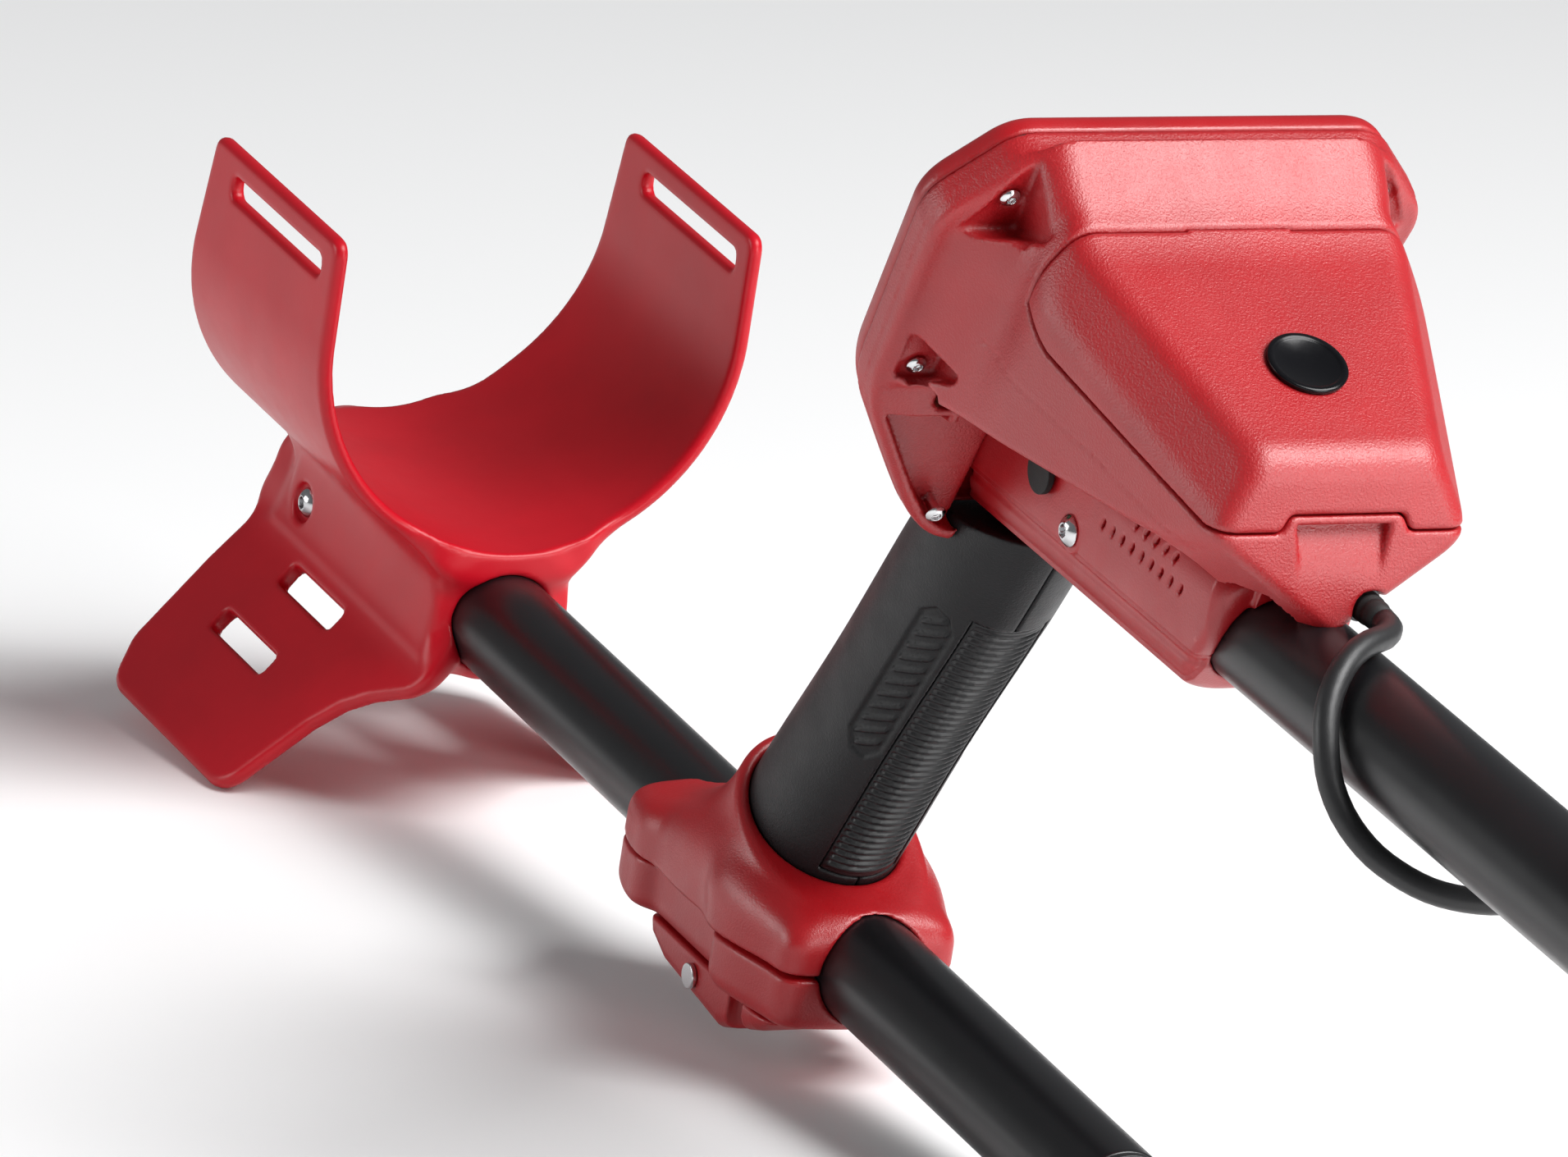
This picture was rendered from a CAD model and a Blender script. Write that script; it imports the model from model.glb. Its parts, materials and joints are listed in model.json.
import json
import math

import bmesh
import bpy
import numpy as np
from mathutils import Matrix, Vector

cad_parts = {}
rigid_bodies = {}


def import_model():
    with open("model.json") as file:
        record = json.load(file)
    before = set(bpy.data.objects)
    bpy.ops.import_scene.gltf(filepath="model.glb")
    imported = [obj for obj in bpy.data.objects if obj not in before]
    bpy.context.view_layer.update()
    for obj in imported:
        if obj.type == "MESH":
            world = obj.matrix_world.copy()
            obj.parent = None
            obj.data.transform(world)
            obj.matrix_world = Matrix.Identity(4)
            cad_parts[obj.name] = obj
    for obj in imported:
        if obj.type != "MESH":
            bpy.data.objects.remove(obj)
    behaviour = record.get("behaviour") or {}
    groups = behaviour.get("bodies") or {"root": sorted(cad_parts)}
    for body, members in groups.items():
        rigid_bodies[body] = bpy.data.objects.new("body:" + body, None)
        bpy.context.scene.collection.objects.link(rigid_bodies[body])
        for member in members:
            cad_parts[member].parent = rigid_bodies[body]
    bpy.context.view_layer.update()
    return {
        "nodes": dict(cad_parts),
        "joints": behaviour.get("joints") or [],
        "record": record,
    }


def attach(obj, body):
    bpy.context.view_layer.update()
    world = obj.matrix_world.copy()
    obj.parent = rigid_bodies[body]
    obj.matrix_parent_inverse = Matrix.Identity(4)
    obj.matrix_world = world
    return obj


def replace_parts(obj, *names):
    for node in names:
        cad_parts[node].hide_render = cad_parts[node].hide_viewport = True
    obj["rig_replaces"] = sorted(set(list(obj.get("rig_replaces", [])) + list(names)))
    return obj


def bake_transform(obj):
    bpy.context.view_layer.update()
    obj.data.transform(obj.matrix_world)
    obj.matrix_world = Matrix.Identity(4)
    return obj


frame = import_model()

# ---------------------------------------------------------------- frame
# The shapes are written in the machine's own frame, in millimetres: X runs
# forward along the armrest tube, Z up, origin on that tube under the grip.

joints = {j["name"]: j for j in frame["joints"]}
BODY_OF = {n: body for body, names in frame["record"]["behaviour"]["bodies"].items() for n in names}
MAIN_Z = 139.0
PIVOT_X = 1080.0
FWD = Vector(joints["armrest_slide"]["axis"])
UP = Vector((-FWD.z, 0, FWD.x))
PIVOT = Vector(joints["coil_tilt"]["pos_m"])
ORIGIN = PIVOT - FWD * PIVOT_X / 1000 - UP * MAIN_Z / 1000
TO_ROW = Matrix((
    (FWD.x / 1000, 0, UP.x / 1000, ORIGIN.x),
    (0, 0.001, 0, 0),
    (FWD.z / 1000, 0, UP.z / 1000, ORIGIN.z),
    (0, 0, 0, 1)))


def row(x, y, z):
    """A point of the machine's frame, in the row frame's metres."""
    return TO_ROW @ Vector((x, y, z))


# ---------------------------------------------------------------- fields
# Signed distances in millimetres, negative inside. Arrays in, arrays out.

def smin(a, b, k):
    """Lower of two fields, blended over a width of k."""
    h = np.clip(0.5 + 0.5 * (b - a) / k, 0, 1)
    return b + (a - b) * h - k * h * (1 - h)


def smax(a, b, k):
    """Higher of two fields, blended over a width of k."""
    return -smin(-a, -b, k)


def round_rect(u, v, half_u, half_v, r):
    qu, qv = np.abs(u) - half_u + r, np.abs(v) - half_v + r
    return (np.minimum(np.maximum(qu, qv), 0)
            + np.hypot(np.maximum(qu, 0), np.maximum(qv, 0)) - r)


def segment(u, v, a, b):
    """Distance to a line segment in a plane."""
    du, dv = b[0] - a[0], b[1] - a[1]
    t = np.clip(((u - a[0]) * du + (v - a[1]) * dv) / (du * du + dv * dv), 0, 1)
    return np.hypot(u - a[0] - t * du, v - a[1] - t * dv)


def polygon(u, v, pts):
    """Signed distance to a closed polygon."""
    d = np.full(np.broadcast(u, v).shape, 1e9)
    inside = np.zeros(d.shape, bool)
    for i, b in enumerate(pts):
        a = pts[i - 1]
        d = np.minimum(d, segment(u, v, a, b))
        crosses = (a[1] > v) != (b[1] > v)
        with np.errstate(divide="ignore", invalid="ignore"):
            at = (b[0] - a[0]) * (v - a[1]) / (b[1] - a[1]) + a[0]
        inside ^= crosses & (u < at)
    return np.where(inside, -d, d)


def oval(u, v, a, b):
    """Close approximation of the distance to an ellipse, for points near it."""
    k0 = np.hypot(u / a, v / b) + 1e-9
    k1 = np.hypot(u / (a * a), v / (b * b)) + 1e-9
    return k0 * (k0 - 1) / k1


def plane_of(a, b, c, inside):
    """Half-space through three points, positive on the side away from inside."""
    a, b, c = Vector(a), Vector(b), Vector(c)
    n = (b - a).cross(c - a).normalized()
    if n.dot(Vector(inside) - a) > 0:
        n = -n
    return n, n.dot(a)


def half_space(p, plane):
    n, at = plane
    return p[0] * n.x + p[1] * n.y + p[2] * n.z - at


# ------------------------------------------------------- fields to meshes

def nodes_of(lo, step, counts):
    return [lo[i] + step * np.arange(counts[i]) for i in range(3)]


def sample(field, lo, hi, step, coarse=6):
    """The field on a grid: exact near the surface, coarse far from it."""
    counts = [int(math.ceil((hi[i] - lo[i]) / step / coarse)) * coarse + 1 for i in range(3)]
    axes = nodes_of(lo, step, counts)
    rough_axes = [a[::coarse] for a in axes]
    rough = field(np.stack(np.meshgrid(*rough_axes, indexing="ij")).reshape(3, -1))
    rough = rough.reshape([len(a) for a in rough_axes])
    near = [np.minimum((np.arange(c) + coarse // 2) // coarse, len(a) - 1)
            for c, a in zip(counts, rough_axes)]
    grid = rough[np.ix_(*near)].astype(np.float32)
    reach = step * coarse * 0.95 + step
    todo = np.nonzero(np.abs(grid) < reach)
    for start in range(0, len(todo[0]), 1500000):
        part = tuple(t[start:start + 1500000] for t in todo)
        grid[part] = field(np.stack([axes[i][part[i]] for i in range(3)]))
    return grid, axes


CORNERS = [(i, j, k) for i in (0, 1) for j in (0, 1) for k in (0, 1)]
EDGES = [(a, b) for a in range(8) for b in range(a + 1, 8)
         if sum(x != y for x, y in zip(CORNERS[a], CORNERS[b])) == 1]


def surface(field, lo, hi, step):
    """Closed mesh of the field's zero surface, one vertex per crossed cell."""
    grid, axes = sample(field, lo, hi, step)
    inside = grid < 0
    count = np.zeros([n - 1 for n in grid.shape], np.int8)
    for c in CORNERS:
        count += inside[c[0]:grid.shape[0] - 1 + c[0], c[1]:grid.shape[1] - 1 + c[1],
                        c[2]:grid.shape[2] - 1 + c[2]]
    cells = np.nonzero((count > 0) & (count < 8))
    index = np.full(count.shape, -1, np.int32)
    index[cells] = np.arange(len(cells[0]))
    values = np.stack([grid[cells[0] + c[0], cells[1] + c[1], cells[2] + c[2]] for c in CORNERS])
    total = np.zeros((3, len(cells[0])))
    hits = np.zeros(len(cells[0]))
    for a, b in EDGES:
        va, vb = values[a], values[b]
        crossed = (va < 0) != (vb < 0)
        t = np.where(crossed, va / np.where(crossed, va - vb, 1), 0)
        for i in range(3):
            total[i] += crossed * (CORNERS[a][i] + t * (CORNERS[b][i] - CORNERS[a][i]))
        hits += crossed
    verts = np.stack([axes[i][0] + step * (cells[i] + total[i] / hits) for i in range(3)])
    verts = settle(field, verts, step)
    quads = []
    for axis in range(3):
        o1, o2 = [i for i in range(3) if i != axis]
        first = [slice(1, -1)] * 3
        second = [slice(1, -1)] * 3
        first[axis], second[axis] = slice(0, -1), slice(1, None)
        va, vb = inside[tuple(first)], inside[tuple(second)]
        at = list(np.nonzero(va != vb))
        flip = va[tuple(at)]
        at[o1], at[o2] = at[o1] + 1, at[o2] + 1
        ring = []
        for d1, d2 in ((-1, -1), (0, -1), (0, 0), (-1, 0)):
            cell = list(at)
            cell[o1], cell[o2] = at[o1] + d1, at[o2] + d2
            ring.append(index[tuple(cell)])
        ring = np.stack(ring, 1)
        if axis == 1:
            flip = ~flip
        ring[~flip] = ring[~flip][:, ::-1]
        quads.append(ring)
    return verts.T, np.concatenate(quads)


def settle(field, verts, step, rounds=2):
    """Pull the vertices onto the surface along the field's slope."""
    e = step * 0.4
    for _ in range(rounds):
        d = field(verts)
        slope = np.stack([field(verts + e * np.eye(3)[i][:, None]) - d for i in range(3)]) / e
        size = np.maximum((slope ** 2).sum(0), 0.25)
        verts = verts - slope * np.clip(d / size, -step * 0.5, step * 0.5)
    return verts


def add_mesh(name, verts, faces, material, body, stands_for=()):
    """Puts a mesh given in the machine's frame into the scene, on its body."""
    mesh = bpy.data.meshes.new(name)
    verts = np.asarray(verts, np.float64)
    m = np.array(TO_ROW)
    verts = verts @ m[:3, :3].T + m[:3, 3]
    faces = np.asarray(faces)
    mesh.vertices.add(len(verts))
    mesh.vertices.foreach_set("co", verts.astype(np.float32).ravel())
    mesh.loops.add(faces.size)
    mesh.loops.foreach_set("vertex_index", faces.ravel().astype(np.int32))
    mesh.polygons.add(len(faces))
    mesh.polygons.foreach_set("loop_start", np.arange(0, faces.size, faces.shape[1], dtype=np.int32))
    mesh.update(calc_edges=True)
    mesh.validate()
    mesh.shade_smooth()
    obj = bpy.data.objects.new(name, mesh)
    bpy.context.scene.collection.objects.link(obj)
    mesh.materials.append(material)
    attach(obj, body)
    if stands_for:
        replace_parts(obj, *stands_for)
    return obj


def moulded(name, field, lo, hi, step, material, body, stands_for):
    """Piece whose surface is a field's zero, sought between two corners."""
    verts, faces = surface(field, lo, hi, step)
    return add_mesh(name, verts, faces, material, body, stands_for)


# -------------------------------------------------------------- materials

def noise(tree, scale, detail=3.0, kind="ShaderNodeTexNoise", rough=0.55):
    """A texture fixed to the piece, with its scale in cells a metre."""
    where = tree.nodes.new("ShaderNodeTexCoord")
    tex = tree.nodes.new(kind)
    tex.inputs["Scale"].default_value = scale
    if kind == "ShaderNodeTexNoise":
        tex.inputs["Detail"].default_value = detail
        tex.inputs["Roughness"].default_value = rough
    tree.links.new(where.outputs["Object"], tex.inputs["Vector"])
    return tex.outputs[0]


def spread(tree, value, low, high, start=0.3, end=0.7):
    """Takes the part of a value from start to end to the range low to high."""
    ramp = tree.nodes.new("ShaderNodeMapRange")
    ramp.inputs["From Min"].default_value = start
    ramp.inputs["From Max"].default_value = end
    ramp.inputs["To Min"].default_value = low
    ramp.inputs["To Max"].default_value = high
    tree.links.new(value, ramp.inputs["Value"])
    return ramp.outputs["Result"]


def tint(tree, factor, a, b):
    mix = tree.nodes.new("ShaderNodeMix")
    mix.data_type = "RGBA"
    mix.inputs["A"].default_value = (*a, 1)
    mix.inputs["B"].default_value = (*b, 1)
    tree.links.new(factor, mix.inputs["Factor"])
    return mix


def material(name, color, rough, metallic=0.0, specular=0.5, coat=0.0, grain=(),
             shade=0.12, rough_spread=0.06, wear=0.0, worn=(0.8, 0.8, 0.8)):
    """Moulded or turned surface. Grain is (kind, cells a metre, depth in metres) layers."""
    mat = bpy.data.materials.new(name)
    mat.use_nodes = True
    tree = mat.node_tree
    bsdf = tree.nodes["Principled BSDF"]
    bsdf.inputs["Metallic"].default_value = metallic
    bsdf.inputs["Specular IOR Level"].default_value = specular
    bsdf.inputs["Coat Weight"].default_value = coat
    bsdf.inputs["Coat Roughness"].default_value = 0.25
    cloudy = noise(tree, 38, 4)
    dark = tuple(c * (1 - shade) for c in color)
    light = tuple(min(1, c * (1 + shade)) for c in color)
    paint = tint(tree, spread(tree, cloudy, 0, 1, 0.35, 0.65), dark, light)
    colour = paint.outputs["Result"]
    if wear:
        geo = tree.nodes.new("ShaderNodeNewGeometry")
        edge = spread(tree, geo.outputs["Pointiness"], 0, wear, 0.53, 0.6)
        patchy = tree.nodes.new("ShaderNodeMath")
        patchy.operation = "MULTIPLY"
        tree.links.new(edge, patchy.inputs[0])
        tree.links.new(spread(tree, noise(tree, 260, 5), 0, 1, 0.42, 0.62), patchy.inputs[1])
        rubbed = tree.nodes.new("ShaderNodeMix")
        rubbed.data_type = "RGBA"
        rubbed.inputs["B"].default_value = (*worn, 1)
        tree.links.new(patchy.outputs[0], rubbed.inputs["Factor"])
        tree.links.new(colour, rubbed.inputs["A"])
        colour = rubbed.outputs["Result"]
    tree.links.new(colour, bsdf.inputs["Base Color"])
    smudge = noise(tree, 95, 6, rough=0.65)
    tree.links.new(spread(tree, smudge, max(0.03, rough - rough_spread), rough + rough_spread),
                   bsdf.inputs["Roughness"])
    normal = None
    for kind, scale, depth in grain:
        bump = tree.nodes.new("ShaderNodeBump")
        bump.inputs["Distance"].default_value = depth
        bump.inputs["Strength"].default_value = 1.0
        tree.links.new(noise(tree, scale, 2.5, kind), bump.inputs["Height"])
        if normal:
            tree.links.new(normal, bump.inputs["Normal"])
        normal = bump.outputs["Normal"]
    if normal:
        tree.links.new(normal, bsdf.inputs["Normal"])
    return mat


NOISE, CELLS = "ShaderNodeTexNoise", "ShaderNodeTexVoronoi"
RED = (0.37, 0.004, 0.008)
RED_SATIN = material("red_satin", (0.47, 0.003, 0.012), 0.35, specular=0.34, shade=0.05,
                     rough_spread=0.025, grain=[(NOISE, 2600, 0.000012)], wear=0.2,
                     worn=(0.70, 0.06, 0.07))
RED_GRAIN = material("red_grain", RED, 0.4, specular=0.8, shade=0.06, rough_spread=0.04,
                     grain=[(NOISE, 1800, 0.00017), (NOISE, 4600, 0.00003)], wear=0.3,
                     worn=(0.72, 0.2, 0.2))
RED_FINE = material("red_fine", RED, 0.36, specular=0.7, shade=0.06,
                    grain=[(NOISE, 1900, 0.00007), (NOISE, 5200, 0.00002)], wear=0.3,
                    worn=(0.72, 0.2, 0.2))
TUBE_BLACK = material("tube_black", (0.006, 0.006, 0.007), 0.3, specular=0.5, shade=0.08,
                      grain=[(NOISE, 5200, 0.000016)], rough_spread=0.02,
                      wear=0.2, worn=(0.08, 0.08, 0.08))
GRIP_BLACK = material("grip_black", (0.008, 0.008, 0.009), 0.44, specular=0.3, shade=0.15,
                      grain=[(NOISE, 1500, 0.00009), (CELLS, 3400, 0.00004)],
                      wear=0.2, worn=(0.08, 0.08, 0.08))
RIB_BLACK = material("rib_black", (0.007, 0.007, 0.008), 0.34, specular=0.35, shade=0.15,
                     grain=[(NOISE, 2600, 0.00003)], wear=0.2, worn=(0.07, 0.07, 0.07))
PLASTIC_BLACK = material("plastic_black", (0.014, 0.014, 0.015), 0.4, shade=0.2,
                         grain=[(NOISE, 1700, 0.00005)], wear=0.2, worn=(0.1, 0.1, 0.1))
RUBBER = material("rubber", (0.012, 0.012, 0.012), 0.62, specular=0.35, shade=0.25,
                  grain=[(NOISE, 2400, 0.00004)])
CABLE_BLACK = material("cable_black", (0.016, 0.016, 0.017), 0.42, specular=0.5, shade=0.2,
                       grain=[(NOISE, 3000, 0.00003), (NOISE, 300, 0.00006)])
STEEL = material("steel", (0.66, 0.66, 0.67), 0.17, metallic=1.0, shade=0.12,
                 grain=[(NOISE, 2400, 0.000008)], rough_spread=0.06)
BADGE_BLACK = material("badge_black", (0.003, 0.003, 0.004), 0.2, specular=0.25,
                       grain=[(NOISE, 900, 0.00001)])
GREY_PLASTIC = material("grey_plastic", (0.16, 0.165, 0.17), 0.45, shade=0.15,
                        grain=[(NOISE, 1600, 0.00006)], wear=0.2, worn=(0.35, 0.35, 0.35))
COIL_BLACK = material("coil_black", (0.018, 0.018, 0.02), 0.5, shade=0.2,
                      grain=[(NOISE, 1300, 0.0001), (NOISE, 4200, 0.00003)], wear=0.3,
                      worn=(0.12, 0.12, 0.12))
LENS = material("lens", (0.01, 0.012, 0.014), 0.07, specular=0.6, coat=0.6, rough_spread=0.02,
                grain=[(NOISE, 700, 0.000003)])
BOARD = material("board", (0.02, 0.13, 0.05), 0.35, grain=[(CELLS, 700, 0.0001)])
COPPER = material("copper", (0.7, 0.28, 0.12), 0.25, metallic=1.0,
                  grain=[(NOISE, 2200, 0.00006)])

SLOT_FINISH = {
    "red_plastic": RED_SATIN, "red_textured": RED_GRAIN, "steel": STEEL,
    "black_tube": TUBE_BLACK, "black_plastic": PLASTIC_BLACK, "grey_plastic": GREY_PLASTIC,
    "dark_plastic": COIL_BLACK, "black_grip": GRIP_BLACK, "black_rubber": RUBBER, "lens": LENS,
    "circuit_board": BOARD, "black_badge": BADGE_BLACK, "cable_jacket": CABLE_BLACK,
    "lower_shaft": TUBE_BLACK, "coil_plastic": COIL_BLACK, "copper": COPPER}


# ------------------------------------------------- camera, floor and light

def look(right, down, forward, at, lens):
    """Camera from its axes in the machine's frame."""
    turn = np.array(TO_ROW)[:3, :3] * 1000
    axes = Matrix([list(turn @ np.array(v)) for v in (right, down, forward)])
    data = bpy.data.cameras.new("camera")
    data.lens, data.sensor_width = lens, 36
    data.clip_end = 50
    cam = bpy.data.objects.new("camera", data)
    m = Matrix.Identity(4)
    for i in range(3):
        m[i][0], m[i][1], m[i][2] = axes[0][i], -axes[1][i], -axes[2][i]
    m.translation = row(*at)
    cam.matrix_world = m
    bpy.context.scene.collection.objects.link(cam)
    bpy.context.scene.camera = cam
    return cam


# The picture's right, down and inward directions, and the camera's place.
CAM_RIGHT = (0.414804, 0.898114, 0.146048)
CAM_DOWN = (0.373179, -0.021529, -0.927509)
CAM_FORWARD = (-0.829865, 0.439236, -0.344088)
CAM_AT = (2677.96, -1433.05, 1187.80)
LENS_MM = 339.0895
look(CAM_RIGHT, CAM_DOWN, CAM_FORWARD, CAM_AT, LENS_MM)


def soft_light(name, at, to, size, power, size_y=None, color=(1, 1, 1)):
    data = bpy.data.lights.new(name, "AREA")
    data.shape = "RECTANGLE"
    data.size, data.size_y = size, size_y or size
    data.energy, data.color = power, color
    lamp = bpy.data.objects.new(name, data)
    lamp.location = at
    lamp.rotation_euler = (Vector(to) - Vector(at)).to_track_quat("-Z", "Y").to_euler()
    bpy.context.scene.collection.objects.link(lamp)


def floor():
    mesh = bpy.data.meshes.new("floor")
    mesh.from_pydata([(-9, -9, 0), (9, -9, 0), (9, 9, 0), (-9, 9, 0)], [], [(0, 1, 2, 3)])
    obj = bpy.data.objects.new("floor", mesh)
    bpy.context.scene.collection.objects.link(obj)
    mat = bpy.data.materials.new("pale_floor")
    mat.use_nodes = True
    bsdf = mat.node_tree.nodes["Principled BSDF"]
    bsdf.inputs["Base Color"].default_value = (0.96, 0.96, 0.96, 1)
    bsdf.inputs["Roughness"].default_value = 0.9
    bsdf.inputs["Specular IOR Level"].default_value = 0.1
    mesh.materials.append(mat)


floor()
world = bpy.data.worlds.new("studio")
world.use_nodes = True
world.node_tree.nodes["Background"].inputs["Color"].default_value = (0.95, 0.97, 1, 1)
world.node_tree.nodes["Background"].inputs["Strength"].default_value = 0.17
bpy.context.scene.world = world
bpy.context.scene.view_settings.view_transform = "Standard"
# The lights aim between the armrest and the pod; places in the row frame's metres.
HEART = (-0.35, 0.0, 0.14)
soft_light("top", (0.7, 0.9, 1.85), HEART, 1.7, 80, 1.2)
soft_light("front", (1.7, 0.9, 0.42), HEART, 1.1, 22, 0.8)
soft_light("left", (-1.2, -2.0, 0.55), HEART, 1.2, 13, 0.8)


# ------------------------------------------------------------------ armrest

ARM_X0, ARM_X1 = -262.0, -166.0
CUFF_R, CUFF_WALL, CUFF_TOP = 54.0, 3.8, 94.0
CUFF_Z = CUFF_TOP - 26
ARM_SCREW_X = -240.0
LEG_SLOPE = math.radians(50)
LEG_T = 4.0
LEG_PLAN = [(-262, -8), (-160, -8), (-159, -2), (-171, 7), (-180, 17), (-187, 31),
            (-195, 58.5), (-260.5, 58.5), (-264, 52), (-264, 20)]
CUFF_SIDE = [(-253, -30), (-249, 30), (-236, CUFF_TOP + 0.1), (-165, CUFF_TOP + 0.1), (-165, -30)]
BORE = 12.55


def shrunk(u, v, pts, r):
    """Distance to a polygon whose corners are rounded to radius r."""
    mid = np.mean(pts, axis=0)
    size = np.ptp(pts, axis=0) / 2
    small = [tuple(mid + (np.array(p) - mid) * (1 - r / size)) for p in pts]
    return polygon(u, v, small) - r


def armrest_field(p):
    x, y, z = p
    ay = np.abs(y)
    # Cuff: a half pipe whose tips run straight up.
    radial = np.where(z < CUFF_Z, np.hypot(y, z - CUFF_Z), ay)
    wall = np.abs(radial - CUFF_R + CUFF_WALL / 2) - CUFF_WALL / 2
    side = shrunk(x, z, CUFF_SIDE, 5)
    cuff = smax(smax(wall, side, 2.4), z - CUFF_TOP, 2.4)
    # Neck round the tube, with a long side panel that stands proud.
    r = np.hypot(y, z)
    ends = np.maximum(ARM_X0 - x, x - ARM_X1)
    neck = smax(r - 15.6, ends, 2.5)
    bracket = smax(np.maximum(ay - 15.2, np.abs(z - 9) - 13), np.maximum(-249 - x, x - ARM_X1 + 1), 3)
    panel_x = round_rect(x - (-206), z - 2.2, 41.5, 9.4, 8.8)
    panel = smax(panel_x, ay - 16.9, 1.6)
    # Legs: thin plates sloping down to each side.
    v = (ay - 14) * math.cos(LEG_SLOPE) - (z + 8) * math.sin(LEG_SLOPE)
    n = (ay - 14) * math.sin(LEG_SLOPE) + (z + 8) * math.cos(LEG_SLOPE)
    plan = shrunk(x, v, LEG_PLAN, 9)
    leg = smax(plan, np.abs(n) - LEG_T / 2, 2.2)
    body = smin(cuff, smin(neck, bracket, 5), 15)
    body = smin(body, leg, 10)
    body = smin(body, panel, 1.6)
    # Bore, screw seat and slots.
    body = smax(body, BORE - r, 1.0)
    seat = np.hypot(x - ARM_SCREW_X, z)
    body = smax(body, -smax(seat - 4.7, 16.0 - ay, 0.6), 0.8)
    body = smax(body, 2.1 - seat, 0.4)
    strap = smax(round_rect(x + 199.5, z - CUFF_TOP + 9.2, 26, 2.7, 2.2), 30 - ay, 1)
    body = smax(body, -strap, 1.2)
    for at_x, at_v in ((-218.5, 10.6), (-226.5, 29)):
        slot = np.maximum(round_rect(x - at_x, v - at_v, 15, 3, 1.6), np.abs(n) - 6)
        body = smax(body, -slot, 1.0)
    inside = np.hypot(y, z - CUFF_Z) - (CUFF_R - CUFF_WALL)
    inside = np.where(z > CUFF_Z, ay - CUFF_R + CUFF_WALL, inside)
    return smax(body, -inside, 1.2)


moulded("armrest_shell", armrest_field, (-270, -60, -58), (-154, 60, 98), 0.9,
        RED_SATIN, "armrest_carriage", ["armrest"])


# -------------------------------------------------------------- clamp, grip

LEAN = math.radians(33.1)
GRIP_X0, GRIP_A, GRIP_B = -8.3, 20.5, 17.2
FOOT_Z, GRIP_TOP = 13.0, 121.8


def grip_axes(p):
    """Height along the grip, and how far forward of its axis."""
    x, y, z = p
    s = (x - GRIP_X0) * math.sin(LEAN) + z * math.cos(LEAN)
    a = (x - GRIP_X0) * math.cos(LEAN) - z * math.sin(LEAN)
    return s, a


SEAM_Z, CLAMP_BOTTOM = -1.0, -14.2
CLAMP_SCREWS = [(-34, 18.5), (17, 19)]


def clamp_plan(x, y):
    """Plan outline with its four lobes, corners rounded."""
    ay = np.abs(y)
    ends = np.maximum(-47.3 - x, x - 39.6)
    rear = solid_2d(x, ay, [((-48, 13), (-41, 23.5)), ((-41, 23.5), (-30, 24.5))], 5)
    front = solid_2d(x, ay, [((11, 25.3), (23, 25.3)), ((23, 25.3), (38, 13))], 7)
    rear = smax(smax(rear, x + 29, 5), ends, 6)
    front = smax(smax(front, 9 - x, 5), ends, 8)
    mid = smax(ay - 21.2, ends, 6)
    return smin(smin(mid, rear, 6), front, 6)


def solid_2d(u, v, edges, k):
    """Region inside a run of edges, with the corners between them blended."""
    d = None
    for (ax, ay), (bx, by) in edges:
        length = math.hypot(bx - ax, by - ay)
        e = ((u - ax) * -(by - ay) + (v - ay) * (bx - ax)) / length
        d = e if d is None else smax(d, e, k)
    return d


def clamp_field(p, upper):
    x, y, z = p
    plan = clamp_plan(x, y)
    s, a = grip_axes(p)
    bore = np.hypot(y, z) - 12.58
    if upper:
        block = smax(smax(plan, z - 11.4, 7), SEAM_Z + 0.2 - z, 1.4)
        collar = smax(oval(a, y, GRIP_A + 3.1, GRIP_B + 3.1), s - 28, 2.2)
        collar = smax(collar, 4 - z, 2)
        d = smin(block, collar, 17)
        root = smax(oval(a, y, GRIP_A + 0.12, GRIP_B + 0.12), FOOT_Z - 0.1 - z, 0.6)
        d = smax(d, -root, 1.2)
        d = smax(d, SEAM_Z + 0.2 - z, 1.0)
    else:
        d = smax(smax(plan, z - SEAM_Z + 0.2, 1.4), CLAMP_BOTTOM - z, 5)
        well = np.maximum(np.maximum(np.abs(x + 5) - 17, np.abs(y) - 13), z + 9.8)
        d = smax(d, -well, 0.8)
        for sx, sy in CLAMP_SCREWS:
            hole = np.hypot(x - sx, np.abs(y) - sy)
            d = smax(d, -np.maximum(hole - 3.2, z + 11), 0.5)
    # A shallow groove runs along the flanks at the seam.
    groove = np.abs(z - SEAM_Z) - 0.35
    flank = 1.2 + plan
    d = smax(d, -smax(groove, -flank, 0.6), 0.6)
    return smax(d, -bore, 0.8)


def clamp_upper_field(p):
    return clamp_field(p, True)


def clamp_lower_field(p):
    return clamp_field(p, False)


moulded("clamp_top_half", clamp_upper_field, (-52, -30, -4), (46, 30, 42), 0.7,
        RED_FINE, "frame", ["clamp_upper"])
moulded("clamp_bottom_half", clamp_lower_field, (-52, -30, -18), (46, 30, 2), 0.7,
        RED_FINE, "frame", ["clamp_lower"])

COVER_SIDE = [(-31, -14.4), (-29, -19), (-21, -22.6), (9, -25.6), (26, -19), (33, -14.4)]
PIN_X, PIN_Z = -5.0, -19.0


def cover_field(p):
    x, y, z = p
    side = polygon(x, z, COVER_SIDE + [(33, -8), (-31, -8)])
    d = smax(smax(side, np.abs(y) - 20.3, 4), z + 14.45, 1)
    gap = np.maximum(np.maximum(-60 - x, x - 22), np.maximum(np.abs(y) - 11, z + 14))
    d = smax(d, -gap, 0.8)
    for sx, sy in CLAMP_SCREWS:
        d = smax(d, 3.5 - np.hypot(x - sx, np.abs(y) - sy), 0.6)
    return smax(d, 2.05 - np.hypot(x - PIN_X, z - PIN_Z), 0.4)


moulded("lever_cover", cover_field, (-34, -23, -28), (36, 23, -12), 0.55,
        RED_FINE, "frame", ["lever_housing"])

RIB_PITCH, RIB_MID = 2.25, 81


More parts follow.
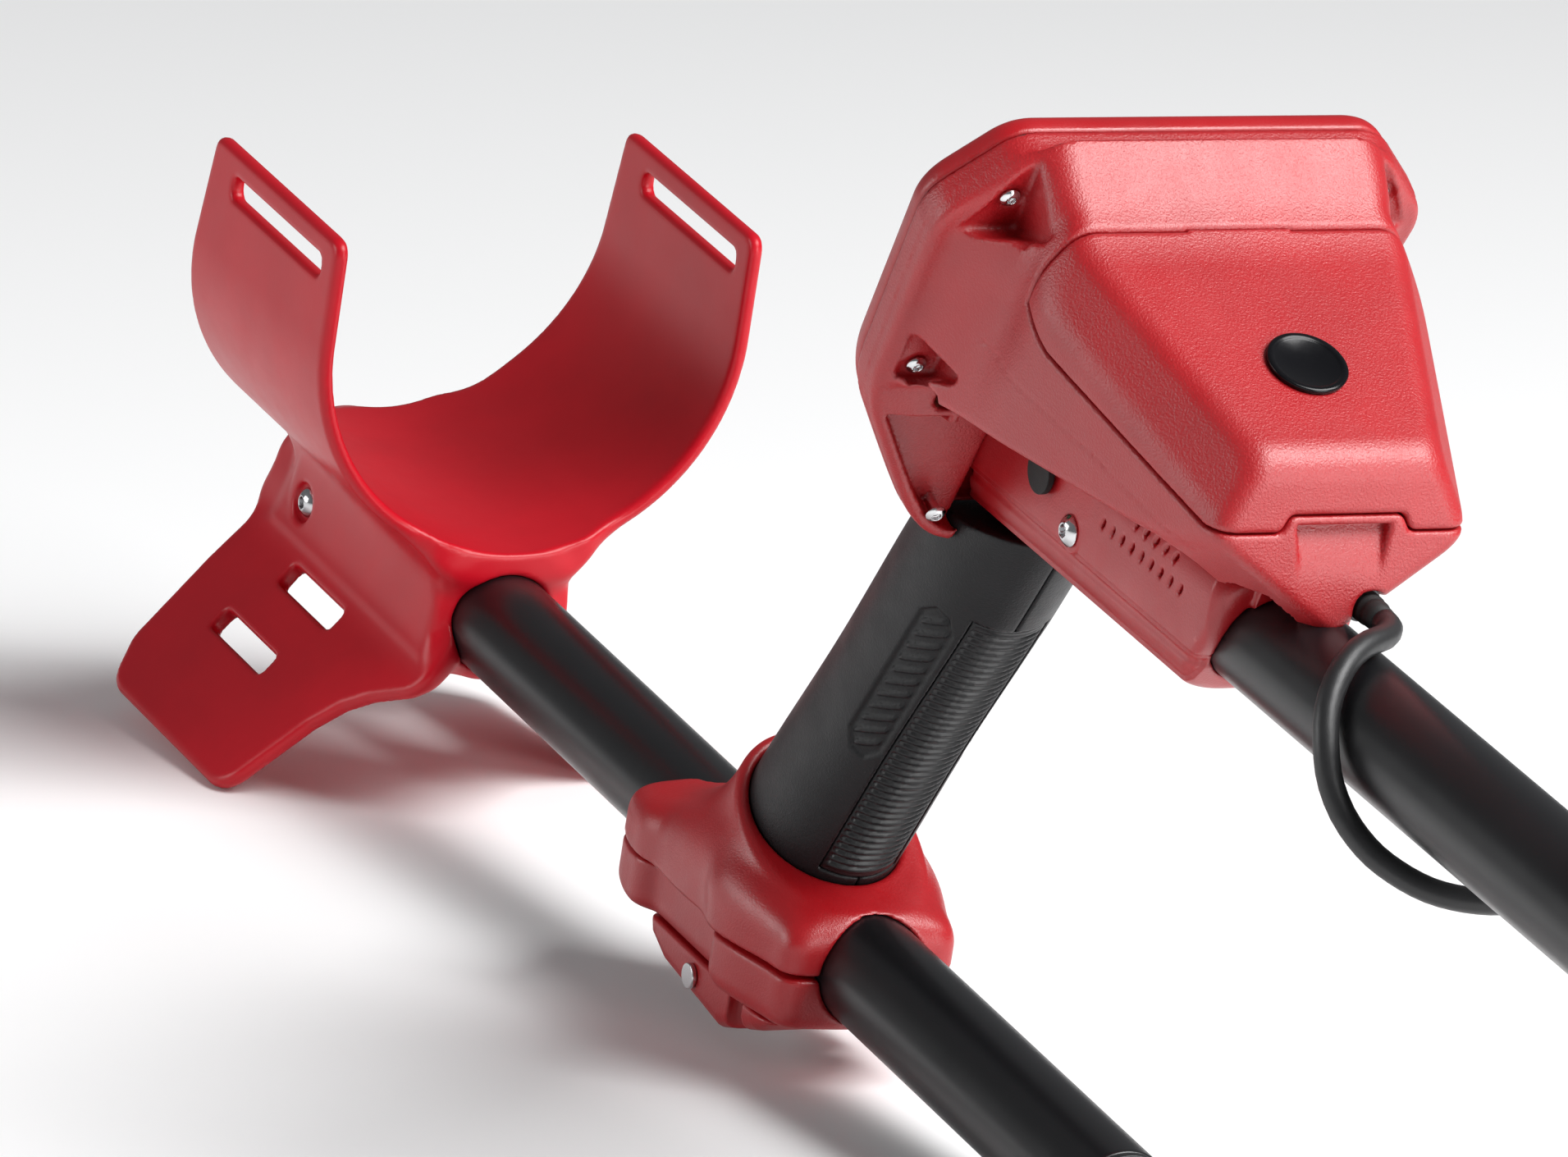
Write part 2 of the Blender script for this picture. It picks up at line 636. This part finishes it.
def grip_shape(p):
    x, y, z = p
    s, a = grip_axes(p)
    d = oval(a, y, GRIP_A, GRIP_B)
    # Slight palm swell and waist.
    return d + 0.55 * (1 - np.cos((s - 30) / 95 * 2 * math.pi)) * 0.5, s, a


def rib_wave(s):
    return 0.5 - 0.5 * np.cos(s / RIB_PITCH * 2 * math.pi)


def grip_half_field(p, side):
    x, y, z = p
    d, s, a = grip_shape(p)
    # Side pad: a six-sided recess with slanting ridges.
    around = np.degrees(np.arctan2(np.abs(y) / GRIP_B, a / GRIP_A))
    pad_u = (around - 52) * 0.36
    pad_s = s - 98
    pad = np.maximum(np.maximum(np.abs(pad_u) - 5.5, np.abs(pad_s) - 27),
                     (np.abs(pad_u) * 1.4 + np.abs(pad_s) - 30) * 0.8)
    inset = np.clip(-pad / 0.9, 0, 1)
    ridge = np.abs(((pad_s + pad_u * 0.9) / 4.6) % 1 - 0.5) * 2
    raised = np.clip((ridge - 0.45) / 0.3, 0, 1) * np.clip((-pad - 1.4) / 0.8, 0, 1)
    d = d + inset * (0.75 - 0.7 * raised)
    # Seam, and the two cut ends.
    d = smax(d, side_gap(y, side), 0.7)
    d = smax(d, FOOT_Z - z, 1)
    d = smax(d, z - GRIP_TOP, 1)
    strip = np.maximum(np.maximum(GRIP_A - 8.1 - a, np.abs(y) - 9.1), np.abs(s - RIB_MID) - 47.1)
    return smax(d, -strip, 0.5)


def side_gap(y, side):
    return 0.12 - y * side


def grip_right_field(p):
    return grip_half_field(p, -1)


def grip_left_field(p):
    return grip_half_field(p, 1)


def rib_field(p):
    x, y, z = p
    d, s, a = grip_shape(p)
    band = np.clip((46.5 - np.abs(s - RIB_MID)) / 2.5, 0, 1) * np.clip((8.6 - np.abs(y)) / 1.2, 0, 1)
    d = d + 0.15 + 1.0 * band * rib_wave(s)
    ends = np.maximum(np.abs(y) - 8.9, np.abs(s - RIB_MID) - 46.9)
    return smax(smax(d, ends, 0.8), GRIP_A - 7.9 - a, 0.5)


moulded("grip_half_right", grip_right_field, (-12, -18.5, 10), (110, 1, 124), 0.55,
        GRIP_BLACK, "frame", ["grip_right"])
moulded("grip_half_left", grip_left_field, (-12, -1, 10), (110, 18.5, 124), 0.55,
        GRIP_BLACK, "frame", ["grip_left"])
moulded("grip_ribs", rib_field, (18, -10, 10), (98, 10, 122), 0.42,
        RIB_BLACK, "frame", ["grip_insert"])


# ---------------------------------------------------------------------- pod

RIM_TILT = math.radians(27.3)
RIM_SIN, RIM_COS = math.sin(RIM_TILT), math.cos(RIM_TILT)
RIM_X, RIM_Z = 56.0, 115.0
# Places on the rim are (sideways, up the display's plane).
RIM_HALF = [(-1, 8.5), (20, 8.5), (29, 15), (45, 39), (54, 55), (58, 112), (42.5, 130), (-1, 130)]
POD_SCREWS = [(43.5, 119.5), (46.2, 67.3), (24, 19)]
KEYS = [(-27, 33.5), (-14.5, 27), (0, 25), (14.5, 27), (27, 33.5)]
HOUSING_Z0, HOUSING_Z1 = 122.0, 156.0
HOUSING_SCREW_X = 126.0


def rim_axes(p):
    """Height up the display's plane, and depth in front of it."""
    x, y, z = p
    u = (x - RIM_X) * RIM_SIN + (z - RIM_Z) * RIM_COS
    d = (x - RIM_X) * RIM_COS - (z - RIM_Z) * RIM_SIN
    return u, d


def rim_point(y, u, d):
    return (RIM_X + RIM_SIN * u + RIM_COS * d, y, RIM_Z + RIM_COS * u - RIM_SIN * d)


def rim_outline(y, u):
    return solid_2d(np.abs(y), u, list(zip(RIM_HALF[1:], RIM_HALF)), 4)


def spine_field(p, d, gap):
    """Room for the grip and for the shaft housing."""
    x, y, z = p
    s, a = grip_axes(p)
    grip = np.maximum(oval(a, y, GRIP_A + gap, GRIP_B + gap), z - HOUSING_Z0 - gap)
    box = np.maximum(np.maximum(np.abs(y) - 17 - gap, HOUSING_Z0 - 2 - z), z - HOUSING_Z1 - gap)
    box = np.maximum(box, x - 205.4 - gap)
    return np.minimum(grip, np.maximum(box, 8 - gap - d))


def rear_shell_field(p):
    x, y, z = p
    u, d = rim_axes(p)
    out = rim_outline(y, u) + 0.5
    shell = smax(smax(out, -d, 6.5), d - 7, 0.9)
    room = np.maximum(out + 3.2, 3 - d)
    for sy, su in POD_SCREWS:
        room = np.maximum(room, 4 - np.hypot(np.abs(y) - sy, u - su))
    shell = smax(shell, -room, 1)
    window = round_rect(y, u - 79, 36, 33, 3)
    shell = smax(shell, -window, 1.6)
    frame_step = smax(round_rect(y, u - 79, 39.5, 36.5, 5), d - 0.9, 0.3)
    shell = smax(shell, -frame_step, 0.5)
    for ky, ku in KEYS:
        shell = smax(shell, 5.3 - np.hypot(y - ky, u - ku), 0.9)
    for sy, su in POD_SCREWS:
        shell = smax(shell, -np.maximum(np.hypot(np.abs(y) - sy, u - su) - 1.35, 2 - d), 0.3)
    return smax(shell, -spine_field(p, d, 0.3), 0.6)


# Corners of the pod's left half. The crest, shoulder and hip lie on the rim.
CREST, SHOULDER_TIP = rim_point(41, 134, 17), rim_point(52, 113, 17)
HIP = rim_point(50, 58, 17)
BROW, LIP = (145.6, 38.2, 212.9), (209, 20.2, 187.2)
CHEEK, CHIN, CHIN_TIP = (211, 28.6, 171), (212, 24.5, 167.3), (212.6, 2.7, 151.6)
POD_MID = (140, 0, 180)


def flip(corner):
    """The same corner on the other side."""
    return (corner[0], -corner[1], corner[2])


TOP = plane_of(CREST, flip(CREST), BROW, POD_MID)
FACE = plane_of(BROW, flip(BROW), LIP, POD_MID)
SIDE_FACE = plane_of(BROW, LIP, CHEEK, POD_MID)
BOTTOM_FACE = plane_of(LIP, flip(LIP), CHEEK, POD_MID)
NOSE = plane_of(CHEEK, flip(CHEEK), CHIN_TIP, POD_MID)
CHIN_SIDE = plane_of(CHIN, CHIN_TIP, (193, 21, 156.5), POD_MID)
SHOULDER = plane_of(CREST, SHOULDER_TIP, BROW, POD_MID)
SIDE = plane_of(SHOULDER_TIP, HIP, CHEEK, POD_MID)
EDGE_Z = 162.6
HINGE_X, HINGE_Z = 145.9, 213.2
PORT_X, PORT_Z = 112, 147
DOOR_ZONE = [(146, 240), (145.4, 213.5), (139.6, 196), (150.5, 188.8), (204, 171.3), (240, 171.3),
             (240, 240)]


def body_field(p):
    x, y, z = p
    q = (x, np.abs(y), z)
    u, d = rim_axes(p)
    top = smin(half_space(q, TOP), half_space(q, FACE), 4)
    sink = 4.6 * np.exp(-((d - 31) / 10.5) ** 2) * np.clip((u - 62) / 40, 0, 1)
    shoulder = half_space(q, SHOULDER) + 0.4 * sink - 0.4 * np.clip(d - 29, 0, None)
    side = smax(half_space(q, SIDE) + sink, shoulder, 4)
    flanks = smax(side, half_space(q, SIDE_FACE), 2.6)
    front = smax(half_space(q, BOTTOM_FACE), half_space(q, NOSE), 4)
    upper = smax(smax(top, front, 5.5), flanks, 3.5)
    # Below the side walls only the chin goes further down.
    floor_at = smin(EDGE_Z - z, 192 - x, 7)
    lower = smax(half_space(q, CHIN_SIDE), floor_at, 2.5)
    return smax(smax(upper, lower, 2.5), 14 - d, 1)


def door_zone(x, y, z):
    """Side view of the cover's part of the pod; it lifts over the finger notch."""
    zone = polygon(x, z, DOOR_ZONE)
    lift = smax(np.abs(y - 0.5) - 15 + (z - 171) * 0.5, z - 175, 1.5)
    return smax(zone, -np.maximum(lift, 200 - x), 1.5)


def screw_pocket(y, u, d, corners, slope_u, roof_d):
    """A recess round a screw; it runs in under the side wall."""
    pts = [Vector(c) for c in corners]
    mid = sum(pts, Vector((0, 0))) / len(pts)
    edges = []
    for a, b in zip(pts, pts[1:] + pts[:1]):
        if (b - a).x * (mid - a).y - (b - a).y * (mid - a).x > 0:
            a, b = b, a
        edges.append((tuple(a), tuple(b)))
    out = solid_2d(y, u, edges, 1.6)
    low = (slope_u + 0.9 * (d - 17) - u) * 0.74
    return smax(smax(out, low, 1.5), smax(16.2 - d, d - roof_d, 2), 1.2)


SOCKET_Y, SOCKET_Z = 8.5, 154.8


def front_shell_field(p):
    x, y, z = p
    ay = np.abs(y)
    u, d = rim_axes(p)
    outline = rim_outline(y, u)
    flange = smax(outline + 0.28 * (d > 12.2), 7.4 - d, 0.8)
    flange = smax(flange, d - 17 - np.clip(outline + 9, 0, 9) * -0.12, 2.2)
    body = body_field(p)
    zone = door_zone(x, y, z)
    outer = np.minimum(smax(body, -zone, 0.9), body + 5.6)
    shell = smin(flange, outer, 3.2)
    # Screws sit in three-cornered pockets.
    upper = screw_pocket(ay, u, d, [(40.6, 132.2), (52.4, 110.4), (39, 110.4)], 108.5, 31)
    lower = screw_pocket(ay, u, d, [(51.4, 77.5), (41.5, 79.5), (41.5, 62), (50.4, 60)], 64.5, 30)
    shell = smax(smax(shell, -upper, 0.9), -lower, 0.9)
    for sy, su in POD_SCREWS:
        well = np.maximum(np.hypot(ay - sy, u - su) - 3.2, np.abs(d - 22) - 6.2)
        shell = smax(shell, -well, 0.8)
    # Hollow inside, with posts for the screws.
    thick = np.where((ay > 36) & (u > 49), 35 - d, -99)
    inside = np.maximum(np.maximum(body + 8.4, 20 - d), np.maximum(EDGE_Z + 6 - z, thick))
    space = np.maximum(outline + 3.2, np.maximum(7 - d, d - np.where(u < 53, 9, 14.2)))
    back = np.maximum(round_rect(y, u - 86, 38, 33, 4), np.abs(d - 17) - 5)
    for sy, su in POD_SCREWS:
        post = 4 - np.hypot(ay - sy, u - su)
        space = np.maximum(space, post)
        inside = np.maximum(inside, np.minimum(post, 20 - d))
    shell = smax(smax(smax(shell, -inside, 0.8), -space, 0.8), -back, 0.5)
    bay = np.maximum(np.maximum(ay - 17.5, np.abs(x - 165) - 15), np.maximum(zone + 1, 168 - z))
    shell = smax(shell, -bay, 0.8)
    # Open underneath, beside the shaft housing, with stiffening ribs.
    under = np.maximum(np.maximum(17.3 - ay, z - 181), x - 200)
    under = np.maximum(np.maximum(under, 18.5 - d), np.minimum(body + 3.0, z - EDGE_Z + 3))
    under = np.maximum(under, np.maximum(np.where(zone < 2, body + 8.4, body + 2.8), thick))
    pit = np.maximum(np.maximum(outline + 3.4, u - 51), np.maximum(17.3 - ay, np.abs(d - 17.3) - 6))
    ribs = np.minimum(np.abs(ay - 31) - 1.2, np.abs(x - 150) - 1.3)
    ribs = np.maximum(ribs, EDGE_Z - 12 - z)
    open_space = np.maximum(np.minimum(under, pit), -ribs)
    shell = smax(shell, -open_space, 0.9)
    # Finger notch below the cover, deepest at its upper edge.
    notch = np.maximum(np.abs(y) - 8.4 - (z - 160) * 0.18, 207.2 + (171 - z) * 0.5 - x)
    notch = smax(notch, z - 173, 0.5)
    shell = smax(shell, -notch, 1.5)
    hinge = np.maximum(np.hypot(x - HINGE_X, z - HINGE_Z) - 0.9, ay - 12.3)
    shell = smax(shell, -hinge, 0.3)
    shell = smax(shell, -spine_field(p, d, 0.1), 0.5)
    socket = np.maximum(np.hypot(y - SOCKET_Y, z - SOCKET_Z) - 4.2, 197 - x)
    shell = smax(shell, -socket, 0.6)
    port = np.maximum(np.hypot(x - PORT_X, z - PORT_Z) - 6.5, ay - 26)
    shell = smax(shell, -np.maximum(port, y), 0.5)
    # A fine mould line curves down the side wall.
    line = segment(x, z, (124.9, 181.6), (166.9, 172.9))
    line = np.minimum(line, segment(x, z, (166.9, 172.9), (199, 164.2)))
    return shell + 0.35 * np.clip(1 - line / 0.45, 0, 1) * (body > -1.5)


def door_field(p):
    x, y, z = p
    zone = door_zone(x, y, z) + 0.4
    body = body_field(p)
    door = smax(body, zone, 1.2)
    # The cover is a shell, hollow behind its wall.
    door = smax(door, -(body + 2.9), 0.6)
    barrel = np.maximum(np.hypot(x - HINGE_X, z - HINGE_Z) - 0.6, np.abs(y) - 12)
    return np.minimum(door, barrel)


HOUSING_HALF = [(-1, -17), (11, -17), (17, -9), (17, 17), (-1, 17)]


def housing_field(p):
    x, y, z = p
    ay = np.abs(y)
    w = z - 139
    u, d = rim_axes(p)
    section = solid_2d(ay, w, list(zip(HOUSING_HALF[1:], HOUSING_HALF)), 7)
    mouth = smax(((x - 190) * 17 - w * 7) / 18.4, ((x - 190) * 17 - w * 15) / 22.7, 3)
    shell = smax(smax(section, mouth, 3), 8 - d, 1)
    # Side panel proud of the rest: it ends in a rounded corner at the front.
    panel = smax(round_rect(x - 118, w - 20, 71.5, 25, 9), 8 - d, 1)
    sunk = np.clip(panel / 2.2, 0, 1) * (ay > 9)
    shell = shell + 1.5 * sunk * np.clip((w + 8) / 4, 0, 1)
    band = np.clip(1 - np.abs(w + 4.3) / 0.5, 0, 1) * (x < 190) * (ay > 12)
    shell = shell + 0.5 * band
    lower = np.clip((-4.6 - w) / 1.5, 0, 1) * (x < 189)
    shell = shell + 0.6 * lower * (ay > 12)
    shell = smax(shell, 12.55 - np.hypot(y, w), 0.8)
    seat = np.hypot(x - HOUSING_SCREW_X, w)
    boss = smax(seat - 4.9, ay - 16.9, 0.3)
    shell = np.minimum(shell, np.maximum(boss, 10 - ay))
    shell = smax(shell, 2.1 - seat, 0.3)
    drops = drop_row(x, w, 139.5, 9, 6.9, 0.7)
    drops = np.minimum(drops, drop_row(x, w, 153.5, 5, 12.1, 0.6))
    shell = smax(shell, -np.maximum(drops, np.maximum(y + 14.5, 0)), 0.3)
    s, a = grip_axes(p)
    shell = smax(shell, -np.maximum(np.hypot(a, y) - 3.1, 10 - s + 90), 0.2)
    socket = np.maximum(np.hypot(y - SOCKET_Y, z - SOCKET_Z) - 4.2, 197 - x)
    return smax(shell, -socket, 0.4)


def drop_row(x, w, start, count, height, half):
    """A row of slanting sound slots."""
    d = None
    for k in range(count):
        at = start + 4.6 * k
        one = segment(x, w, (at - half * 0.5, height - half), (at + half * 0.6, height + half)) - 0.7
        d = one if d is None else np.minimum(d, one)
    return d


moulded("pod_display_side", rear_shell_field, (50, -60, 116), (126, 60, 240), 0.8,
        RED_FINE, "frame", ["pod_rear_shell"])
moulded("pod_front", front_shell_field, (62, -60, 112), (220, 60, 240), 0.8,
        RED_GRAIN, "frame", ["pod_front_shell"])
moulded("battery_cover", door_field, (136, -52, 166), (216, 52, 216), 0.7,
        RED_GRAIN, "battery_door", ["battery_door"])
moulded("shaft_shell", housing_field, (60, -19, 119), (217, 19, 159), 0.55,
        RED_FINE, "frame", ["shaft_housing"])


# ------------------------------------------------- tubes, cable and screws


def turned(name, profile, at, axis, material, body, stands_for, sides=96):
    """Closed turned piece: a profile of (distance along, radius) about an axis."""
    axis = Vector(axis).normalized()
    side = axis.cross(Vector((0, 0, 1) if abs(axis.z) < 0.9 else (1, 0, 0))).normalized()
    other = axis.cross(side)
    verts, faces = [], []
    n = len(profile)
    for t, r in profile:
        for k in range(sides):
            w = 2 * math.pi * k / sides
            verts.append(Vector(at) + axis * t + (side * math.cos(w) + other * math.sin(w)) * r)
    for i in range(n):
        j = (i + 1) % n
        for k in range(sides):
            beside = (k + 1) % sides
            faces.append((i * sides + k, j * sides + k, j * sides + beside, i * sides + beside))
    obj = add_mesh(name, [tuple(v) for v in verts], faces, material, body, stands_for)
    bm = bmesh.new()
    bm.from_mesh(obj.data)
    bmesh.ops.remove_doubles(bm, verts=bm.verts, dist=1e-7)
    bmesh.ops.recalc_face_normals(bm, faces=bm.faces)
    bm.to_mesh(obj.data)
    bm.free()
    obj.data.shade_smooth()
    return obj


def pipe_profile(x0, x1, r, wall, edge=0.5):
    """Outside, rounded ends and inside of a pipe."""
    inner = r - wall
    return [(x0, inner + edge), (x0, r - edge), (x0 + edge * 0.3, r - edge * 0.3), (x0 + edge, r),
            (x0 + edge * 3, r), *[(x0 + (x1 - x0) * k / 24, r) for k in range(1, 24)],
            (x1 - edge * 3, r), (x1 - edge, r), (x1 - edge * 0.3, r - edge * 0.3),
            (x1, r - edge), (x1, inner + edge), (x1 - edge, inner), (x0 + edge, inner)]


turned("armrest_pipe", pipe_profile(-256, 164, 12.5, 1.5), (0, 0, 0), (1, 0, 0), TUBE_BLACK,
       BODY_OF["armrest_tube"], ["armrest_tube"])
turned("main_pipe", pipe_profile(96, 700, 12.5, 1.5), (0, 0, MAIN_Z), (1, 0, 0), TUBE_BLACK,
       "frame", ["main_tube"])
turned("telescoping_pipe", pipe_profile(560, 1046, 10.91, 2), (0, 0, MAIN_Z), (1, 0, 0),
       TUBE_BLACK, "lower_shaft", ["lower_shaft"])


def button_screw(name, at, axis, head_r, shank_r, length, body, stands_for):
    """Domed head with a hexagon socket; the axis points out of the head."""
    out_axis = np.array(Vector(axis).normalized())
    side = np.cross(out_axis, (0.3, 0.2, 1.0))
    side /= np.linalg.norm(side)
    up = np.cross(out_axis, side)
    rise = head_r * 0.58

    def field(p):
        q = [c - a for c, a in zip(p, at)]
        out = sum(c * a for c, a in zip(q, out_axis))
        a = sum(c * e for c, e in zip(q, side))
        b = sum(c * e for c, e in zip(q, up))
        r = np.hypot(a, b)
        dome_r = (head_r ** 2 + rise ** 2) / (2 * rise)
        dome = np.sqrt(r * r + (out + dome_r - rise) ** 2) - dome_r
        head = smax(smax(dome, -out, 0.35), r - head_r * 0.985, 0.3)
        hexagon = np.maximum(np.abs(a) * 0.866 + np.abs(b) * 0.5, np.abs(b)) - head_r * 0.36
        head = smax(head, -np.maximum(hexagon, head_r * 0.12 - out), 0.16)
        return np.minimum(head, np.maximum(r - shank_r, np.maximum(out - 0.2, -out - length)))

    far = np.array(at) - out_axis * length
    tip = np.array(at) + out_axis * rise
    lo = np.minimum(far, tip) - head_r - 0.5
    hi = np.maximum(far, tip) + head_r + 0.5
    return moulded(name, field, tuple(lo), tuple(hi), 0.25, STEEL, body, stands_for)


SIDEWAYS = (0, -1, 0)
button_screw("armrest_cross_screw", (ARM_SCREW_X, -16, 0), SIDEWAYS, 3.8, 2, 35,
             "armrest_carriage", ["armrest_screw"])
button_screw("housing_cross_screw", (HOUSING_SCREW_X, -17, MAIN_Z), SIDEWAYS, 3.8, 2, 37, "frame",
             ["housing_screw"])
for i, (sy, su) in enumerate(POD_SCREWS):
    for sign, side_name in ((-1, "right"), (1, "left")):
        button_screw("pod_screw_%d_%s" % (i + 1, side_name), rim_point(sign * sy, su, 16.2),
                     (RIM_COS, 0, -RIM_SIN), 2.5, 1.25, 12, "frame", ["pod_screws"])

DOOR_LEAN = math.atan2(BROW[2] - LIP[2], LIP[0] - BROW[0])
PLUG_PROFILE = [(207.7, 0.3), (207.7, 2.9), (208.1, 3.4), (209.3, 3.5), (209.6, 3.1), (210.4, 3.1),
                (210.7, 3.4), (211.5, 3.4), (211.9, 3.0), (212.7, 3.0), (213.1, 3.2), (214, 3.2),
                (214.6, 2.95), (217, 2.8), (217.1, 0.3)]
turned("lead_boot", PLUG_PROFILE, (0, SOCKET_Y, SOCKET_Z), (1, 0, 0), RUBBER,
       BODY_OF["cable_plug"], ["cable_plug"], 40)

BADGE_AT = (183, 0, 197.95)
BADGE_PROFILE = [(-0.15, 0.0), (-0.15, 8.7), (0.9, 8.9), (1.2, 8.6), (1.2, 7.6), (0.95, 7.3),
                 (0.8, 7.0), (0.8, 0.0)]
turned("round_badge", BADGE_PROFILE, BADGE_AT, (math.sin(DOOR_LEAN), 0, math.cos(DOOR_LEAN)),
       BADGE_BLACK, "battery_door", ["door_badge"])

LEAD_IN = [(217.2, 8.5, 154.8), (221, 8, 154.7), (225.5, 4.5, 154.8), (229, -1, 155),
           (232.5, -6.5, 153.7), (236.5, -11.3, 150.4), (240.5, -14.7, 145.4), (244.5, -16, 139.5),
           (248.5, -15.4, 132), (254, -12.5, 125), (261, -7, 119.5), (270, 2, 116.5),
           (281, 12.5, 119.5)]
# The winding's first and last places along the shaft, and its turn there in degrees.
HELIX_X = (292.0, 1012.0)
HELIX_TURN = (245.0, 2120.0)
CABLE_R = 2.75


def ring_r(x):
    """Radius of the winding: wider where it slides past the twist lock, and by the pod."""
    swell = max(0.0, math.cos(math.radians(min(90, abs(x - 770) * 0.5))))
    return 16.3 + 7.2 * math.sqrt(swell) + 4 * max(0, (330 - x) / 40)


def helix_point(t):
    x = HELIX_X[0] + (HELIX_X[1] - HELIX_X[0]) * t
    w = math.radians(HELIX_TURN[0] + (HELIX_TURN[1] - HELIX_TURN[0]) * t)
    return (x, -ring_r(x) * math.sin(w), MAIN_Z + ring_r(x) * math.cos(w))


LEAD_OUT = [(1018, 5, MAIN_Z + 15.8), (1024, 1, MAIN_Z + 16.5), (1030, 0, MAIN_Z + 16.3),
            (1038.4, 0, MAIN_Z + 16.3)]
CABLE_ROUTE = LEAD_IN + [helix_point(k / 62) for k in range(63)] + LEAD_OUT


def smooth_route(points, step):
    """Points every step millimetres along a smooth curve through the given ones."""
    pts = np.array(points, float)
    ext = np.vstack([2 * pts[0] - pts[1], pts, 2 * pts[-1] - pts[-2]])
    out = []
    for i in range(1, len(ext) - 2):
        p0, p1, p2, p3 = ext[i - 1:i + 3]
        n = max(2, int(np.linalg.norm(p2 - p1) / step))
        t = (np.arange(n) / n)[:, None]
        out.append(0.5 * (2 * p1 + (p2 - p0) * t + (2 * p0 - 5 * p1 + 4 * p2 - p3) * t ** 2
                          + (3 * p1 - p0 - 3 * p2 + p3) * t ** 3))
    return np.vstack(out + [pts[-1:]])


def swept(name, route, radius, material, stands_for, sides=20):
    """Round cable along a route, with closed ends."""
    n = len(route)
    tangents = np.gradient(route, axis=0)
    tangents /= np.linalg.norm(tangents, axis=1)[:, None]
    side = np.cross(tangents[0], (0.1, 0.3, 1.0))
    verts = []
    for i in range(n):
        side = side - tangents[i] * side.dot(tangents[i])
        side /= np.linalg.norm(side)
        up = np.cross(tangents[i], side)
        w = 2 * math.pi * np.arange(sides) / sides
        verts.append(route[i] + radius * (np.outer(np.cos(w), side) + np.outer(np.sin(w), up)))
    verts = np.vstack(verts)
    faces = [(i * sides + k, i * sides + (k + 1) % sides, (i + 1) * sides + (k + 1) % sides,
              (i + 1) * sides + k) for i in range(n - 1) for k in range(sides)]
    m = np.array(TO_ROW)
    mesh = bpy.data.meshes.new(name)
    mesh.from_pydata([tuple(v) for v in verts @ m[:3, :3].T + m[:3, 3]], [], faces)
    bm = bmesh.new()
    bm.from_mesh(mesh)
    bmesh.ops.holes_fill(bm, edges=bm.edges, sides=0)
    bmesh.ops.recalc_face_normals(bm, faces=bm.faces)
    bm.to_mesh(mesh)
    bm.free()
    mesh.shade_smooth()
    obj = bpy.data.objects.new(name, mesh)
    bpy.context.scene.collection.objects.link(obj)
    mesh.materials.append(material)
    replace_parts(obj, *stands_for)
    return obj


cable = swept("coil_lead", smooth_route(CABLE_ROUTE, 2.5), CABLE_R, CABLE_BLACK,
              ["coil_cable"])
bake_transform(cable)

COIL_TILT = math.radians(5.89142)
COIL_TOP = -36.0


def on_coil(u, y, h):
    """A point given along the coil, sideways, and above its pivot."""
    return (PIVOT_X + u * math.cos(COIL_TILT) - h * math.sin(COIL_TILT), y,
            MAIN_Z + u * math.sin(COIL_TILT) + h * math.cos(COIL_TILT))


GLAND = on_coil(-38, 0, COIL_TOP + 11.25)
TAIL_ROUTE = [(1039.3, 0, MAIN_Z + 16.3), (1047.3, -2, MAIN_Z + 16.8), (1054.3, -8, MAIN_Z + 15.8),
              (1058.3, -16, MAIN_Z + 11.3), (1055, -23.5, MAIN_Z + 2), (1049, -25.5, MAIN_Z - 8),
              (1043.5, -20, MAIN_Z - 16), (GLAND[0] + 1, -9, GLAND[2] + 10),
              (GLAND[0], -2, GLAND[2] + 6), GLAND]
tail = swept("tail_lead", smooth_route(TAIL_ROUTE, 1.5), CABLE_R, CABLE_BLACK,
             ["cable_tail"])
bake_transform(tail)


# --------------------------------------------------- remaining CAD pieces

SLOT_OF = {s["node"]: s["material_slot"] for s in frame["record"]["subparts"]}


def refined(name, width=0.25, finish=None, angle=35, segments=2):
    """A carried CAD solid, rebuilt with welded corners and rounded edges."""
    mesh = frame["nodes"][name].data.copy()
    bm = bmesh.new()
    bm.from_mesh(mesh)
    bmesh.ops.remove_doubles(bm, verts=bm.verts, dist=0.000003)
    bmesh.ops.dissolve_limit(bm, angle_limit=0.002, verts=bm.verts, edges=bm.edges)
    bm.to_mesh(mesh)
    bm.free()
    mesh.materials.clear()
    mesh.materials.append(finish or SLOT_FINISH[SLOT_OF[name]])
    mesh.shade_smooth()
    obj = bpy.data.objects.new(name + "_piece", mesh)
    bpy.context.scene.collection.objects.link(obj)
    bevel = obj.modifiers.new("edges", "BEVEL")
    bevel.width = width / 1000
    bevel.segments = segments
    bevel.limit_method = "ANGLE"
    bevel.angle_limit = math.radians(angle)
    weights = obj.modifiers.new("weights", "WEIGHTED_NORMAL")
    weights.keep_sharp = True
    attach(obj, BODY_OF[name])
    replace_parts(obj, name)
    return obj


# Every CAD solid that no piece above stands for is carried over.
done = {n for o in bpy.data.objects for n in o.get("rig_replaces", [])}
for node in frame["nodes"]:
    if node not in done:
        refined(node)
